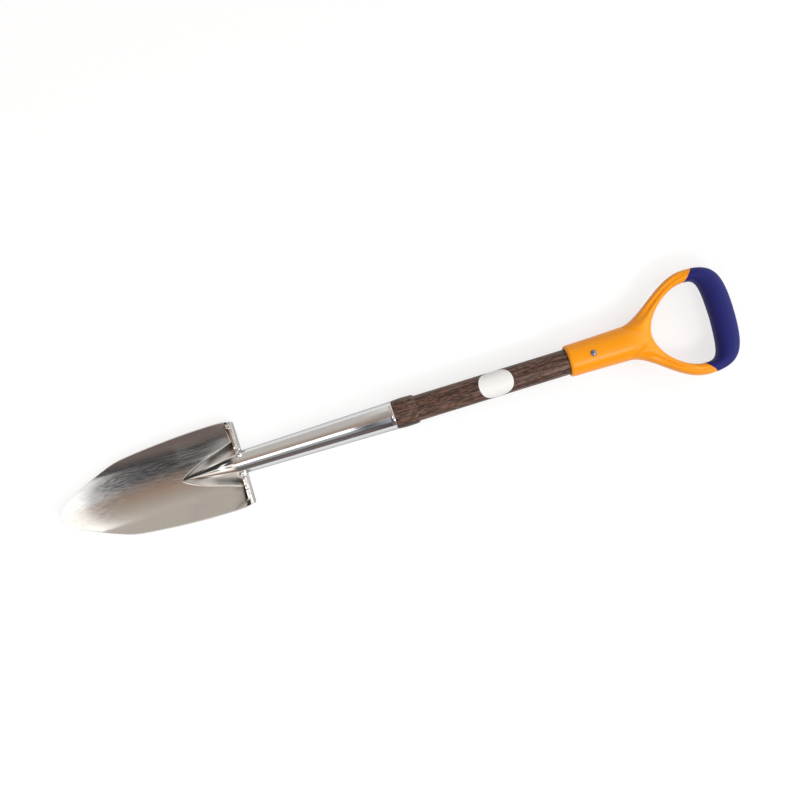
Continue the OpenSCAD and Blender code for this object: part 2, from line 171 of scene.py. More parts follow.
# %% Outline and dish
BLADE_W = 117.0
CORNER_X = 89.0
CORNER_W = 99.0
CORNER_SOFT = 14.0
TIP_POWER = 0.6
WIDE_X = 225.0
SHOULDER_IN = 1.6
SHEET = 2.2
DISH_R = 87.0
TIP_RISE = 20.0
TIP_CURL = 1.6
FROG_X = 164.5
LOW_X = FROG_X + 5
INNER_X = HEEL_X - SHEET
BEND_R = 6.0
RIM_Z = SHEET + DISH_R - math.sqrt(DISH_R ** 2 - (BLADE_W / 2 - SHOULDER_IN) ** 2)


def half_w(x):
    """Half the blade's width at a station; a cubic eases the corner of the outline."""
    if abs(x - CORNER_X) < CORNER_SOFT:
        t = (x - CORNER_X + CORNER_SOFT) / (2 * CORNER_SOFT)
        a, b = half_w(CORNER_X - CORNER_SOFT), half_w(CORNER_X + CORNER_SOFT)
        rise = TIP_POWER * a / (CORNER_X - CORNER_SOFT) * 2 * CORNER_SOFT
        run = (BLADE_W - CORNER_W) / (WIDE_X - CORNER_X) ** 2
        run *= (WIDE_X - CORNER_X - CORNER_SOFT) * 2 * CORNER_SOFT
        return ((2 * t ** 3 - 3 * t * t + 1) * a + (t ** 3 - 2 * t * t + t) * rise
                + (3 * t * t - 2 * t ** 3) * b + (t ** 3 - t * t) * run)
    if x < CORNER_X:
        return CORNER_W / 2 * (x / CORNER_X) ** TIP_POWER
    if x < WIDE_X:
        back = (WIDE_X - x) / (WIDE_X - CORNER_X)
        return BLADE_W / 2 - (BLADE_W - CORNER_W) / 2 * back ** 2
    return BLADE_W / 2 - SHOULDER_IN * ((x - WIDE_X) / (HEEL_X - WIDE_X)) ** 2


def keel_z(x):
    """Height of the dish's lowest line, which lifts towards the tip."""
    return SHEET + (TIP_RISE * ((LOW_X - x) / LOW_X) ** TIP_CURL if x < LOW_X else 0)


def dish_z(x, y):
    """Height of the dished face, an arc across the blade."""
    return keel_z(x) + DISH_R - math.sqrt(DISH_R ** 2 - y * y)


print("the rim is", round(RIM_Z, 2), "mm high at the heel")

# %% [markdown]
# The frog is the raised cone that stiffens the blade and leads into the
# socket. It starts as a point in the dish, and its round ridge climbs to the
# top of the neck. Straight flanks fall from the ridge and meet the dish in a
# crease, with a small fillet that the press leaves.

# %% Frog
NECK_R = 15.25
START_R = 1.2
STEEP_FLANK = 1.7
EASY_FLANK = 1.3


def frog_t(x):
    """Share of the way along the frog, from its point to the heel."""
    return clamp((x - FROG_X) / (HEEL_X - FROG_X))


def ridge_r(x):
    """Radius of the round ridge."""
    return lerp(START_R, NECK_R, frog_t(x) ** 0.9)


def ridge_z(x):
    """Height of the top of the ridge."""
    rise = math.sin(math.pi / 2 * frog_t(x)) ** 0.8
    return lerp(keel_z(x), AXIS_Z + NECK_R, rise)


def flank(x):
    """Steepness of the frog's flanks, which ease off towards the heel."""
    return lerp(STEEP_FLANK, EASY_FLANK, smooth((frog_t(x) - 0.55) / 0.4))


def frog_z(x, y):
    """Height of the frog: round on its ridge, straight down its flanks."""
    r, base = ridge_r(x), ridge_z(x) - ridge_r(x)
    slope = flank(x)
    steep = math.hypot(1, slope)
    if abs(y) < r * slope / steep:
        return base + math.sqrt(r * r - y * y)
    return base + r * steep - slope * abs(y)


def crease_y(x, rise):
    """How far off the axis the flank meets the dish."""
    slope = flank(x)
    drop = ridge_z(x) + ridge_r(x) * (math.hypot(1, slope) - 1) - keel_z(x) - rise
    return DISH_R * (math.sqrt(slope ** 2 + 2 * max(0, drop) / DISH_R) - slope)


def soft_max(a, b, k):
    """The higher of two heights, with a fillet of about k between them."""
    h = clamp(0.5 + 0.5 * (a - b) / k)
    return lerp(b, a, h) + k * h * (1 - h)


print("the crease is", round(crease_y(240, 0), 1), "mm off the axis near the heel")

# %% [markdown]
# The sheet is a flat grid whose points are put where the rules say. Each row
# is a station with the rise of the bend and its share of the turned-up wall.
# Rows crowd where the sheet bends most: round the tip, at the frog's point
# and through the bend. Columns crowd at the crease on both sides.

# %% Rows and columns of the grid
NOSE_L = 60.0
NOSE_ROWS = 18
PAN_ROWS = 30
FROG_ROWS = 46
BEND_ROWS = 10
WALL_ROWS = 6
FLANK_COLUMNS = 18
DISH_COLUMNS = 28
rows = [(NOSE_L * (i / NOSE_ROWS) ** 1.5, 0, 0) for i in range(1, NOSE_ROWS + 1)]
rows += [(lerp(NOSE_L, FROG_X - 2, i / PAN_ROWS), 0, 0) for i in range(1, PAN_ROWS + 1)]
rows += [(lerp(FROG_X - 1, HEEL_X - BEND_R - SHEET, (i / FROG_ROWS) ** 1.2), 0, 0)
         for i in range(FROG_ROWS + 1)]
for i in range(1, BEND_ROWS + 1):
    turn = math.pi / 2 * i / BEND_ROWS
    rows.append((INNER_X - BEND_R + BEND_R * math.sin(turn),
                 BEND_R * (1 - math.cos(turn)), 0))
rows += [(INNER_X, BEND_R, i / WALL_ROWS) for i in range(1, WALL_ROWS + 1)]
half_columns = [1 - (1 - i / FLANK_COLUMNS) ** 1.3 for i in range(1, FLANK_COLUMNS + 1)]
half_columns += [1 + (i / DISH_COLUMNS) ** 1.35 for i in range(1, DISH_COLUMNS + 1)]
columns = [-c for c in reversed(half_columns)] + [0] + half_columns
print(len(rows), "rows and", len(columns), "columns")

# %% Place one point of the blade's dished face
LANE_SHARE = 0.14
LANE_SPREAD = 0.12
POINT_FILLET = 0.3
HEEL_FILLET = 1.6
TOP_FILLET = 0.8
RIM_RIPPLE = 0.25


def column_y(c, x, rise):
    """Where a column lies: 0 is the axis, 1 the crease and 2 the blade's edge."""
    if x < FROG_X:
        lane = min(LANE_SHARE * half_w(x), crease_y(FROG_X, 0) + LANE_SPREAD * (FROG_X - x))
    else:
        lane = crease_y(x, rise)
    side = lane * abs(c) if abs(c) <= 1 else lerp(lane, half_w(x), abs(c) - 1)
    return math.copysign(side, c)


def wall_point(y, rise, wall, fillet):
    """A point of the turned-up heel, a share of the way up its wall."""
    high = frog_z(INNER_X, y)
    in_frog = smooth((high - RIM_Z) / 3 + 0.5)
    x = INNER_X + SHEET * wall * in_frog
    foot = soft_max(dish_z(INNER_X, y) + rise, high, fillet)
    ripple = RIM_RIPPLE * noise.noise(Vector((y * 0.25, wall * 3, 0)))
    top = soft_max(RIM_Z + ripple, frog_z(x, y), TOP_FILLET)
    return at(x, y, lerp(foot, top, wall))


def face_point(row, c):
    """A point of the dished face; the nose's rows bow round the tip."""
    x, rise, wall = row
    y = column_y(c, x, rise)
    fillet = lerp(POINT_FILLET, HEEL_FILLET, frog_t(x) ** 0.5)
    if wall:
        return wall_point(y, rise, wall, fillet)
    middle = x * x / NOSE_L if x < NOSE_L else x
    bowed = middle + (x - middle) * (abs(y) / half_w(x)) ** (1 / TIP_POWER)
    dish = min(dish_z(bowed, y) + rise, max(RIM_Z, dish_z(bowed, y)))
    if x < FROG_X - 1:
        return at(bowed, y, dish)
    return at(bowed, y, soft_max(dish, frog_z(x, y), fillet))


print("the ridge is", round(frog_z(200, 0) - dish_z(200, 0), 1), "mm above the dish halfway")

# %% [markdown]
# Pressing puts every point of the grid in place. The sheet then gets its
# thickness as a real sheet has it, square to its face: the whole face is
# copied, pushed in by the thickness and joined to the first along its border.

# %% Press the blade
bm = bmesh.new()
bmesh.ops.create_grid(bm, x_segments=len(rows) - 1, y_segments=len(columns) - 1, size=1.0)
in_nose = set()
for vert in bm.verts:
    i = round((vert.co.x + 1) / 2 * (len(rows) - 1))
    j = round((vert.co.y + 1) / 2 * (len(columns) - 1))
    vert.co = face_point(rows[i], columns[j])
    if rows[i][0] < NOSE_L:
        in_nose.add(vert)
face_up(bm)
bm.normal_update()


def sheet_normal(vert):
    """Where the nose's rows crowd together, the normal comes from the rule of the dish."""
    if vert not in in_nose:
        return vert.normal
    x, y = vert.co.x / MM + OVERALL / 2, vert.co.y / MM
    step = 0.5
    across = (dish_z(x, y + step) - dish_z(x, y - step)) / (2 * step)
    along = (dish_z(x + step, y) - dish_z(max(0, x - step), y)) / (step + min(step, x))
    return Vector((-along, -across, 1)).normalized()


pushed = [(vert, vert.co - sheet_normal(vert) * SHEET * MM) for vert in bm.verts]
copied = bmesh.ops.duplicate(bm, geom=bm.faces[:] + bm.edges[:] + bm.verts[:])
for vert, place in pushed:
    copied["vert_map"][vert].co = (max(place.x, at(0).x), place.y, place.z)
back_faces = [g for g in copied["geom"] if isinstance(g, bmesh.types.BMFace)]
bmesh.ops.reverse_faces(bm, faces=back_faces)
bmesh.ops.bridge_loops(bm, edges=[e for e in bm.edges if e.is_boundary])
blade = finish_piece("blade_sheet", bm, "blade_steel", "blade", sharp=45, recalc=False)

# %% [markdown]
# ## Treads and welds
# The foot stands on two flat bars that are welded against the turned-up heel.
# Each is cut from flat bar, so its outline is drawn as one face and extruded.
# Beside the neck it has a round cut that widens towards the grip, the bevel
# that a welder grinds for the bead. The other edges are only broken, and the
# top is a little uneven from the grinding.

# %% Treads
TREAD_T = 3.0
TREAD_W = 20.0
TREAD_CORNER = 5.0
TREAD_GAP = 0.02
WELD_LEG = 4.5
NECK_GAP = 0.15
CUT_Y = 9.0
EDGE_BREAK = 0.45
CUT_STEPS = 16
CORNER_STEPS = 8
LOW_EDGE_Z = 20.0
BREAK_LOW_FROM = 15.5
BREAK_HIGH_FROM = 9.5


def uneven(place, coarse, deep, fine, shallow):
    """Unevenness in millimetres: coarse noise with finer, shallower noise on it."""
    return noise.noise(place * coarse) * deep + noise.noise(place * fine) * shallow


def tread_outline(cut_r):
    """The bar seen from the grip, with a round cut of radius cut_r beside the neck."""
    low, end = RIM_Z - TREAD_W, half_w(HEEL_X)
    first, last = math.asin(CUT_Y / cut_r), math.pi / 2 + math.asin((RIM_Z - AXIS_Z) / cut_r)
    points = []
    for i in range(CUT_STEPS + 1):
        turn = lerp(last, first, i / CUT_STEPS)
        points.append((cut_r * math.sin(turn), AXIS_Z - cut_r * math.cos(turn)))
    points.append((CUT_Y, low))
    for i in range(CORNER_STEPS + 1):
        turn = math.pi / 2 * i / CORNER_STEPS
        points.append((end - TREAD_CORNER * (1 - math.sin(turn)),
                       low + TREAD_CORNER * (1 - math.cos(turn))))
    points.append((end, RIM_Z))
    return points


def is_broken(edge):
    """True for the bar's outer edges; those of the round cut stay as ground."""
    past_cut = BREAK_LOW_FROM if edge.verts[0].co.z < LOW_EDGE_Z * MM else BREAK_HIGH_FROM
    return edge.calc_face_angle(0) > 1.0 and min(abs(v.co.y) for v in edge.verts) > past_cut * MM


def tread_bar(name, side):
    """Extrudes, bevels and grinds one tread."""
    bm = bmesh.new()
    near, far = tread_outline(NECK_R + NECK_GAP), tread_outline(NECK_R + NECK_GAP + WELD_LEG)
    near_points = [at(HEEL_X + TREAD_GAP, side * y, z) for y, z in near]
    face = bm.faces.new([bm.verts.new(point) for point in near_points])
    grown = bmesh.ops.extrude_face_region(bm, geom=[face])["geom"]
    for vert in [g for g in grown if isinstance(g, bmesh.types.BMVert)]:
        k = min(range(len(near)), key=lambda i: (near_points[i] - vert.co).length)
        vert.co = at(HEEL_X + TREAD_T, side * far[k][0], far[k][1])
    bmesh.ops.recalc_face_normals(bm, faces=bm.faces[:])
    bmesh.ops.bevel(bm, geom=[e for e in bm.edges if is_broken(e)], offset=EDGE_BREAK * MM,
                    offset_type="OFFSET", segments=3, profile=0.5, affect="EDGES", material=-1)
    near_top = at(0, 0, RIM_Z - 1).z
    long_top = [e for e in bm.edges if all(v.co.z > near_top for v in e.verts)
                and abs(e.verts[0].co.y - e.verts[1].co.y) > 20 * MM]
    bmesh.ops.subdivide_edges(bm, edges=long_top, cuts=40, use_grid_fill=True)
    for vert in bm.verts:
        if vert.co.z > near_top:
            vert.co.z += uneven(vert.co, 260, 0.28, 700, 0.12) * MM
    return finish_piece("tread_bar_" + name, bm, "blade_steel", "tread_" + name)


treads = [tread_bar("left", 1), tread_bar("right", -1)]

# %% [markdown]
# A weld bead is a row of drops that ran together. It follows the cut in the
# tread, climbs the neck and ends in a lump on the frog's shoulder. Each drop is
# a ball, and the melted skin gets a little noise for the ripples. The lump on
# the right kept a small crater.

# %% Neck welds
CUT_DROPS = range(32, 92, 5)
CUT_DROP_R = 2.5
NECK_DROPS_FROM = 92
NECK_DROP_STEP = 6
NECK_DROP_R = 2.2
CRATER_WIDTH = 0.32


def drop(bm, side, turn, r, x, radius, longer=1.0):
    """One drop of weld metal, at an angle up from straight below the neck."""
    place = at(x, side * r * math.sin(math.radians(turn)),
               AXIS_Z - r * math.cos(math.radians(turn)))
    scale = Matrix.Diagonal((radius * MM * longer, radius * MM, radius * MM, 1))
    bmesh.ops.create_icosphere(bm, subdivisions=3, radius=1.0,
                               matrix=Matrix.Translation(place) @ scale)
    return place


def neck_weld(name, side, last_turn, lump_r, lump_x, lump_up, longer, crater):
    """The bead on one side of the neck, with its lump at last_turn degrees."""
    bm = bmesh.new()
    for turn in CUT_DROPS:
        drop(bm, side, turn, NECK_R + 2.1, HEEL_X + TREAD_T + 0.4, CUT_DROP_R)
    for turn in range(NECK_DROPS_FROM, last_turn, NECK_DROP_STEP):
        drop(bm, side, turn, NECK_R + 0.4, HEEL_X + 2.2, NECK_DROP_R)
    lump = drop(bm, side, last_turn, NECK_R + lump_up, HEEL_X + lump_x, lump_r, longer)
    bm = melt(bm, voxel=0.45, rounds=3)
    bm.normal_update()
    for vert in bm.verts:
        ripple = uneven(vert.co, 520, 0.22, 1500, 0.07)
        above = (vert.co - lump).normalized().z
        near = math.hypot(vert.co.x - lump.x, vert.co.y - lump.y) / (lump_r * MM)
        pit = crater * math.exp(-(near / CRATER_WIDTH) ** 2) if above > 0.5 else 0.0
        vert.co += vert.normal * (ripple - pit) * MM
    return finish_piece("weld_bead_" + name, bm, "blade_steel", "neck_weld_" + name, sharp=180)


welds = [neck_weld("left", 1, last_turn=143, lump_r=3.5, lump_x=5.0, lump_up=0.5,
                   longer=1.15, crater=0.0),
         neck_weld("right", -1, last_turn=111, lump_r=5.2, lump_x=1.6, lump_up=1.3,
                   longer=1.05, crater=1.1)]

# %% [markdown]
# ## Steel socket
# A drawn, slightly tapered tube. It is turned from its outline in one spin,
# with a rolled lip at its mouth.

# %% Socket
NECK_D = 30.5
MOUTH_D = 38.2
TUBE_WALL = 1.9
TUBE_STEP = 8
LIP = [(2.4, 0.05), (1.6, 0.25), (0.6, 0.22), (0.1, -0.1), (0.0, -0.6), (0.0, -TUBE_WALL)]


def socket_r(x):
    """Outer radius of the tapered tube."""
    return lerp(NECK_D, MOUTH_D, (x - HEEL_X) / (COLLAR_X - HEEL_X)) / 2


foot = (HEEL_X, socket_r(HEEL_X) - TUBE_WALL)
profile = [foot, (HEEL_X, socket_r(HEEL_X))]
profile += [(HEEL_X + i * TUBE_STEP, socket_r(HEEL_X + i * TUBE_STEP)) for i in range(1, 26)]
profile += [(COLLAR_X - back, socket_r(COLLAR_X - back)) for back in (6, 4)]
profile += [(COLLAR_X - back, socket_r(COLLAR_X) + out) for back, out in LIP]
profile += [foot]
socket = finish_piece("socket_tube", turned(profile, 128), "socket_steel", "socket", sharp=50)

# %% [markdown]
# ## Wooden shaft
# A turned ash shaft, stained dark. The collar behind the steel is left thicker,
# so that wood and steel meet almost flush, and it runs down to the bare shaft
# in a rounded shoulder. Inside the steel the wood is turned to the tube's
# taper, and inside the grip it ends square.

# %% Shaft
SHAFT_R = 17.25
COLLAR_R = 19.9
COLLAR_L = 26.0
SHOULDER_R = 5.4
INSIDE = 2.0
FOOT_X = HEEL_X + 18
FOOT_R = 12.2
WOOD_STEP = 13
END_IN_GRIP = 78
profile = [(FOOT_X, 0.0), (FOOT_X, FOOT_R),
           (HEEL_X + 22, socket_r(HEEL_X + 22) - INSIDE),
           (COLLAR_X, socket_r(COLLAR_X) - INSIDE), (COLLAR_X + 0.05, COLLAR_R - 1.3)]
for i in range(1, 13):
    t = i / 12
    profile.append((COLLAR_X + 0.05 + COLLAR_L * t,
                    COLLAR_R - 0.7 + 0.7 * math.sin(math.pi / 2 * min(1, 1.5 * t))
                    - 0.25 * max(0, t - 0.6) / 0.4))
for i in range(1, 11):
    turn = math.pi / 2 * i / 10
    profile.append((BARE_X - SHOULDER_R + SHOULDER_R * math.sin(turn),
                    lerp(SHAFT_R, COLLAR_R - 0.25, math.cos(turn))))
profile += [(BARE_X + i * WOOD_STEP, SHAFT_R) for i in range(1, 22)]
profile += [(GRIP_X + END_IN_GRIP, SHAFT_R), (GRIP_X + END_IN_GRIP, 0.0)]
shaft = finish_piece("shaft_wood", turned(profile, 96), "shaft_wood", "shaft", sharp=35)

# %% [markdown]
# ## Bare white sticker
# A round sticker wrapped on the shaft. A square grid is drawn into a disc and
# then rolled round the wood, and a solidify gives it the thickness of paper.

# %% Sticker
STICKER_D = 46.6
STICKER_X = BARE_X + 109
STICKER_R = SHAFT_R + 0.22
PAPER = 0.18
bm = bmesh.new()
bmesh.ops.create_grid(bm, x_segments=40, y_segments=64, size=1.0)
for vert in bm.verts:
    u, v = vert.co.x, vert.co.y
    x = STICKER_D / 2 * u * math.sqrt(1 - v * v / 2)
    turn = STICKER_D / 2 * v * math.sqrt(1 - u * u / 2) / SHAFT_R
    vert.co = at(STICKER_X + x, STICKER_R * math.sin(turn), AXIS_Z + STICKER_R * math.cos(turn))
face_up(bm)
bmesh.ops.solidify(bm, geom=bm.faces[:], thickness=PAPER * MM)
sticker = finish_piece("sticker_blank", bm, "label_white", "label", sharp=50)

# %% [markdown]
# ## Moulded D grip
# The grip is one moulding: a tube that takes the shaft, a fork, two arms and
# the hand bar. Two curves draw the D's outer and inner edge for one side, each
# in an arm and a bar, and the other side mirrors them. The D is skewed a
# little, as the real one is: the arm towards +Y stands farther out.

# %% Outline of the D
GRIP_L = 232.5
GRIP_W = 143.0
FORK_R = 23.1
FORK_X = 80.0
EDGE_R = FORK_R - 0.2
CROTCH_X = 118.0
WIDE_GRIP_X = 180.0
LOOP_HALF = GRIP_W / 2 - 16.2
SKEW = 0.036
OUTER_ARM = [(FORK_X, EDGE_R), (FORK_X + 31, FORK_R + 0.5),
             (WIDE_GRIP_X - 39, GRIP_W / 2), (WIDE_GRIP_X, GRIP_W / 2)]
OUTER_BAR = [(WIDE_GRIP_X, GRIP_W / 2), (GRIP_L - 10.5, GRIP_W / 2),
             (GRIP_L, GRIP_W / 2 - 16.5), (GRIP_L, 0)]
INNER_ARM = [(CROTCH_X, 0), (CROTCH_X, 24.5), (WIDE_GRIP_X - 30, LOOP_HALF),
             (WIDE_GRIP_X - 2, LOOP_HALF)]
INNER_BAR = [(WIDE_GRIP_X - 1, LOOP_HALF), (WIDE_GRIP_X + 16, LOOP_HALF),
             (GRIP_L - 33.5, LOOP_HALF - 5), (GRIP_L - 32, 0)]


def curve_point(points, t):
    """A point of a cubic curve with two end points and two handles."""
    weights = ((1 - t) ** 3, 3 * t * (1 - t) ** 2, 3 * t * t * (1 - t), t ** 3)
    return Vector((sum(w * p[0] for w, p in zip(weights, points)),
                   sum(w * p[1] for w, p in zip(weights, points)), 0))


def outer_edge(a):
    """Outer edge: the arm from 0 to 1, the bar from 1 to 2, in the tube below 0."""
    if a < 0:
        return Vector((FORK_X - 12 * min(1, -4 * a), EDGE_R * (1 + 4 * a), 0))
    return curve_point(OUTER_ARM, a) if a < 1 else curve_point(OUTER_BAR, a - 1)


def inner_edge(a):
    """Inner edge: the arm from 0 to 1 and the bar from 1 to 2."""
    return curve_point(INNER_ARM, a) if a < 1 else curve_point(INNER_BAR, a - 1)


print("the loop is", round(2 * LOOP_HALF, 1), "mm wide inside")

# %% [markdown]
# A section spans the two edges. At the fork it is as high as the tube beside
# it and falls to the crotch, in the arm it is a flat oval, and in the bar it
# is thicker again, because the hand holds it there. A groove runs along each
# arm on both faces. It starts by the outer rim and drifts inwards.

# %% Sections of the D
ARM_THICK = 12.5
BAR_THICK = 15.5
GROOVE_FROM = 0.1
GROOVE_TO = 0.585
GROOVE_DEPTH = 2.9
GROOVE_HALF = 0.46
BAR_PULL = 0.7
SIDE_ROOM = 0.9993


def fork_fall(share):
    """Fall of the fork's back from the tube (share 0) to the crotch (share 1)."""
    return max(0.0, 1 - clamp(share) ** 2.5) ** 0.4


def half_thick(q):
    """Half the thickness of a section, from the fork (q = 0) to the bar (q = 1)."""
    if q < 0.5:
        return lerp(FORK_R - 0.1, ARM_THICK, smooth((q - 0.02) / 0.30))
    return lerp(ARM_THICK, BAR_THICK, smooth((q - 0.5) / 0.2))


def groove(q, e):
    """Depth of the groove in section q, at e from the inner (-1) to the outer (1) edge."""
    t = (q - GROOVE_FROM) / (GROOVE_TO - GROOVE_FROM)
    if not 0 < t < 1:
        return 0.0
    off = (e - lerp(0.42, 0.12, smooth(t * 1.3))) / GROOVE_HALF
    if abs(off) >= 1:
        return 0.0
    return GROOVE_DEPTH * math.sin(math.pi * t) ** 0.7 * (1 - off * off) ** 1.5


def section_point(q, turn, mirror):
    """A point of section q at an angle round it, on the side that mirror names."""
    a, b = outer_edge(lerp(-0.25, 2, q)), inner_edge(2 * q ** 1.28)
    middle, across = (a + b) / 2, (a - b) / 2
    c, s = math.cos(turn), math.sin(turn)
    power = 2 / lerp(2.0, 2.3, smooth(q / 0.3))
    e = math.copysign(abs(c) ** power, c)
    h = math.copysign(abs(s) ** power, s)
    tube_height = FORK_R * math.sqrt(max(0, 1 - ((1 + e) / 2) ** 2))
    fork = math.copysign(tube_height * fork_fall((1 - e) / 2), h) if h else 0.0
    lift = lerp(fork, half_thick(q) * h, smooth((q - 0.01) / 0.24))
    lift -= math.copysign(groove(q, e), h)
    p = middle + across * e
    y = mirror * p.y
    skewed = p.x + SKEW * y * smooth((p.x - FORK_X) / 60)
    x = skewed - BAR_PULL * smooth((p.x - 185) / 20)
    return at(GRIP_X + x, y * SIDE_ROOM, AXIS_Z + lift)


print("the arms are", 2 * ARM_THICK, "mm thick and the bar", 2 * BAR_THICK, "mm")

# %% [markdown]
# The sections follow the D once round and are bridged into a ring. The tube is
# spun by itself with a round end inside the fork. A fine remesh then melts
# ring and tube into one skin, as the mould makes it.

# %% Loft the D
SECTIONS = 72
SIDES = 56
bm = bmesh.new()
rings = []
for k in range(2 * SECTIONS):
    q = k / SECTIONS if k <= SECTIONS else 2 - k / SECTIONS
    mirror = 1 if k <= SECTIONS else -1
    ring = bmesh.ops.create_circle(bm, segments=SIDES, radius=1.0)["verts"]
    for vert in ring:
        turn = math.atan2(vert.co.y, vert.co.x)
        vert.co = section_point(q, turn, mirror)
    rings.append(ring)
ring_edges = [list({e for v in ring for e in v.link_edges}) for ring in rings]
for k in range(len(rings)):
    bmesh.ops.bridge_loops(bm, edges=ring_edges[k] + ring_edges[(k + 1) % len(rings)])
bmesh.ops.recalc_face_normals(bm, faces=bm.faces[:])
print("the D has", len(bm.faces), "faces")

# %% Spin the tube of the grip and melt it on
DOME_X = 78.0
MOUTH_R = 21.6
MOUTH_ROUND = 4
MOUTH_DEPTH = 9
profile = [(GRIP_X + MOUTH_DEPTH, 0.0), (GRIP_X + MOUTH_DEPTH, SHAFT_R + 0.1),
           (GRIP_X + 0.6, SHAFT_R + 0.25)]
for i in range(1, 11):
    turn = math.pi / 2 * i / 10
    profile.append((GRIP_X + MOUTH_ROUND * (1 - math.cos(turn)),
                    lerp(SHAFT_R + 1.2, MOUTH_R, math.sin(turn))))
for i in range(1, 13):
    t = i / 12
    profile.append((GRIP_X + lerp(MOUTH_ROUND, DOME_X, t), lerp(MOUTH_R, FORK_R, t ** 1.5)))
for i in range(1, 17):
    share = math.sin(math.pi / 2 * i / 16)
    profile.append((GRIP_X + lerp(DOME_X, CROTCH_X - 0.5, share), FORK_R * fork_fall(share)))
tube = turned(profile, 96)
tube_mesh = bpy.data.meshes.new("grip_tube")
bmesh.ops.recalc_face_normals(tube, faces=tube.faces[:])
tube.to_mesh(tube_mesh)
tube.free()
bm.from_mesh(tube_mesh)
grip_bm = melt(bm, voxel=0.8, rounds=7)

# %% [markdown]
# A second shot of soft plastic covers the bar. The joint crosses each arm at
# a slant, a little farther out on the arm towards +Y. So the skin is cut by a
# plane through each arm, and each part is closed where it was cut.

# %% Cut the sleeve from the body
CUT_OUTER = (GRIP_X + 188.2, 70.0)
CUT_INNER = (GRIP_X + 175.7, 55.0)
CUT_SKEW = 3.8
ARMS_X = GRIP_X + 150


def cut_plane(mirror):
    """A point and the normal of the cut through one arm; the normal looks to the bar."""
    a = at(CUT_OUTER[0] + CUT_SKEW * mirror, mirror * CUT_OUTER[1])
    b = at(CUT_INNER[0] + CUT_SKEW * mirror, mirror * CUT_INNER[1])
    along = (a - b).normalized()
    normal = Vector((along.y, -along.x, 0))
    return a, normal if normal.x > 0 else -normal


def split_grip(source, keep_bar):
    """A copy of the skin with only the bar side or only the fork side of the cuts."""
    bm = source.copy()
    for mirror in (1, -1):
        point, normal = cut_plane(mirror)
        bmesh.ops.bisect_plane(bm, geom=bm.verts[:] + bm.edges[:] + bm.faces[:], dist=1e-6,
                               plane_co=point, plane_no=normal)
    gone = []
    for face in bm.faces:
        middle = face.calc_center_median()
        point, normal = cut_plane(1 if middle.y > 0 else -1)
        in_bar = (middle - point).dot(normal) > 0 and middle.x > at(ARMS_X).x
        if in_bar != keep_bar:
            gone.append(face)
    bmesh.ops.delete(bm, geom=gone, context="FACES")
    border = [e for e in bm.edges if e.is_boundary]
    bmesh.ops.holes_fill(bm, edges=border, sides=0)
    return bm


body_bm = split_grip(grip_bm, False)
sleeve_bm = split_grip(grip_bm, True)
grip_bm.free()
grip_body = finish_piece("grip_body", body_bm, "grip_orange", "grip_frame", sharp=60)
grip_sleeve = finish_piece("grip_soft_sleeve", sleeve_bm, "sleeve_navy", "grip_sleeve", sharp=60)

# %% [markdown]
# ## Rivet
# The rivet that holds the grip is a low round head. Its outline is spun about
# the rivet's own line.

# %% Rivet head
RIVET_X = GRIP_X + 33.0
RIVET_Z = AXIS_Z + 21.4
RIVET_R = 4.3
RIVET_RISE = 2.6
RIVET_SINK = 2.0
outline = [(0.0, RIVET_RISE)]
for i in range(1, 13):
    turn = math.pi / 2 * i / 12
    outline.append((RIVET_R * math.sin(turn), RIVET_RISE * math.cos(turn)))
outline += [(RIVET_R, -RIVET_SINK), (0.0, -RIVET_SINK)]
rivet_points = [at(RIVET_X + r, 0, RIVET_Z + h) for r, h in outline]
bm = spun(rivet_points, at(RIVET_X, 0, RIVET_Z), (0, 0, 1), 48)
rivet = finish_piece("rivet_head", bm, "fastener_steel", "grip_rivet")

# %% [markdown]
# ## Finishes
# Every finish is procedural. Polished steel is a mirror with fine lengthwise
# scratches, stained ash is long streaks of grain with pores, and moulded
# plastic has a faint texture in a satin skin. They all are built from the
# same few nodes, so small helpers make those.


# %% Material helpers
def finish(name, color, rough, metal=0.0):
    """A new material with its node tree, its shader and its coordinates."""
    mat = bpy.data.materials.new(name)
    mat.use_nodes = True
    tree = mat.node_tree
    shader = tree.nodes["Principled BSDF"]
    shader.inputs["Base Color"].default_value = (*color, 1)
    shader.inputs["Roughness"].default_value = rough
    shader.inputs["Metallic"].default_value = metal
    coords = tree.nodes.new("ShaderNodeTexCoord")
    return mat, tree, shader, coords


def noise_node(tree, coords, scale, detail=4.0, stretch=(1, 1, 1)):
    """Noise on the piece's own coordinates, stretched along its length if asked."""
    mapping = tree.nodes.new("ShaderNodeMapping")
    mapping.inputs["Scale"].default_value = stretch
    tree.links.new(coords.outputs["Object"], mapping.inputs["Vector"])
    tex = tree.nodes.new("ShaderNodeTexNoise")
    tex.inputs["Scale"].default_value = scale
    tex.inputs["Detail"].default_value = detail
    tree.links.new(mapping.outputs["Vector"], tex.inputs["Vector"])
    return tex


def ramp_node(tree, value, stops):
    """Turns a value into colours, by (position, colour) stops."""
    ramp = tree.nodes.new("ShaderNodeValToRGB")
    for element, (position, color) in zip(ramp.color_ramp.elements, stops):
        element.position = position
        element.color = (*color, 1)
    for position, color in stops[2:]:
        element = ramp.color_ramp.elements.new(position)
        element.color = (*color, 1)
    tree.links.new(value, ramp.inputs["Fac"])
    return ramp.outputs["Color"]


def math_node(tree, kind, first, second=None):
    """Works on one or two values, each a number or another node's output."""
    node = tree.nodes.new("ShaderNodeMath")
    node.operation = kind
    for value_in, value in zip(node.inputs, (first, second)):
        if value is None:
            continue
        if isinstance(value, (int, float)):
            value_in.default_value = value
        else:
            tree.links.new(value, value_in)
    return node.outputs[0]


def color_mix(tree, share):
    """A node that mixes two colours by a share from another node."""
    mix = tree.nodes.new("ShaderNodeMix")
    mix.data_type = "RGBA"
    tree.links.new(share, mix.inputs["Factor"])
    return mix


